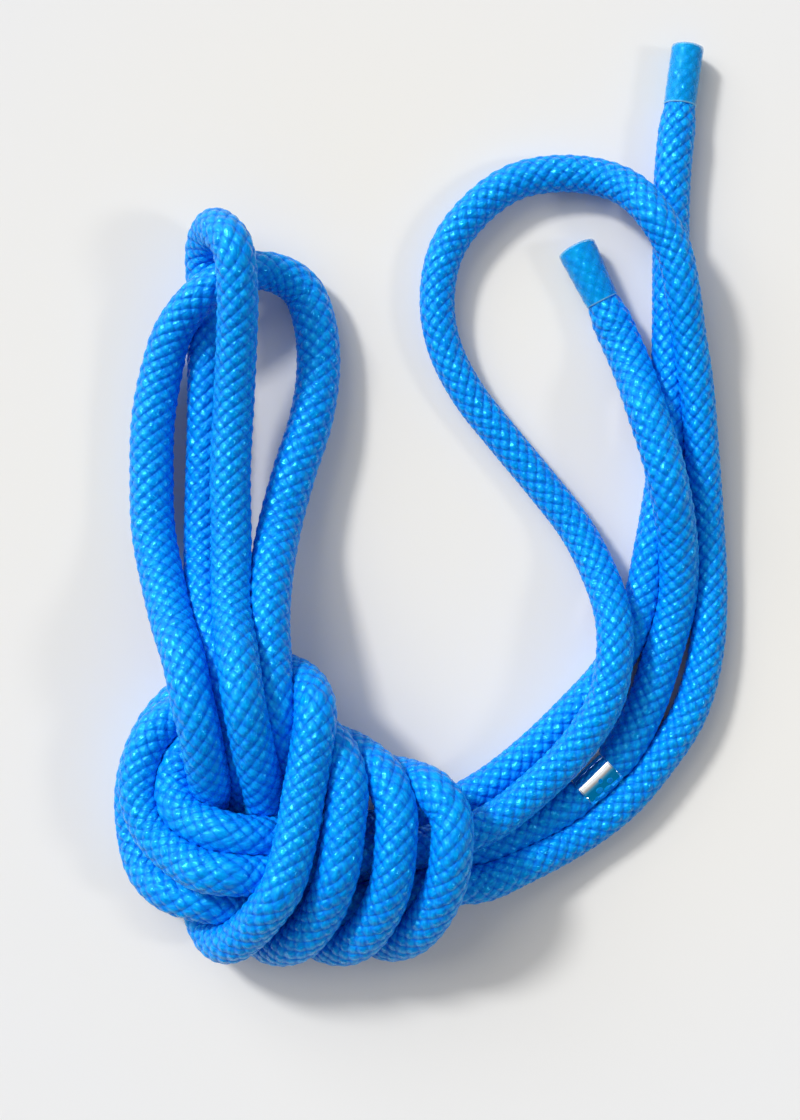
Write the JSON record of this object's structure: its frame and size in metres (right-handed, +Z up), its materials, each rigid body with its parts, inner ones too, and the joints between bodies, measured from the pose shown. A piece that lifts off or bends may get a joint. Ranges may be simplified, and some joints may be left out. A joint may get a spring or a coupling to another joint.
{
  "type": "dynamic climbing rope",
  "caption": "Short kernmantle dynamic rope, bright blue braid, folded on itself with one overhand knot tied in the bundle, both ends sealed under clear sleeves, and a metal marker band on one tail.",
  "frame": {"origin": "on the surface that the rope lies on, under the middle of its outline", "axes": "+Z up; +Y along the folded rope, from the knot towards the cut ends and the bights"},
  "size_m": [0.1689, 0.2498, 0.0436],
  "materials": {
    "sheath_yarn": "glossy braided yarn",
    "core_yarn": "matt twisted yarn",
    "melted_end": "melted and smooth",
    "clear_sleeve": "clear shrunk plastic",
    "band_metal": "mirror polished"
  },
  "bodies": {
    "root": {"sheath": "sheath_yarn", "core_strand_centre": "core_yarn", "core_strand_1": "core_yarn", "core_strand_2": "core_yarn", "core_strand_3": "core_yarn", "core_strand_4": "core_yarn", "core_strand_5": "core_yarn", "core_strand_6": "core_yarn", "end_seal_a": "melted_end", "end_seal_b": "melted_end", "end_sleeve_a": "clear_sleeve", "end_sleeve_b": "clear_sleeve", "marker_band": "band_metal"}
  },
  "joints": []
}
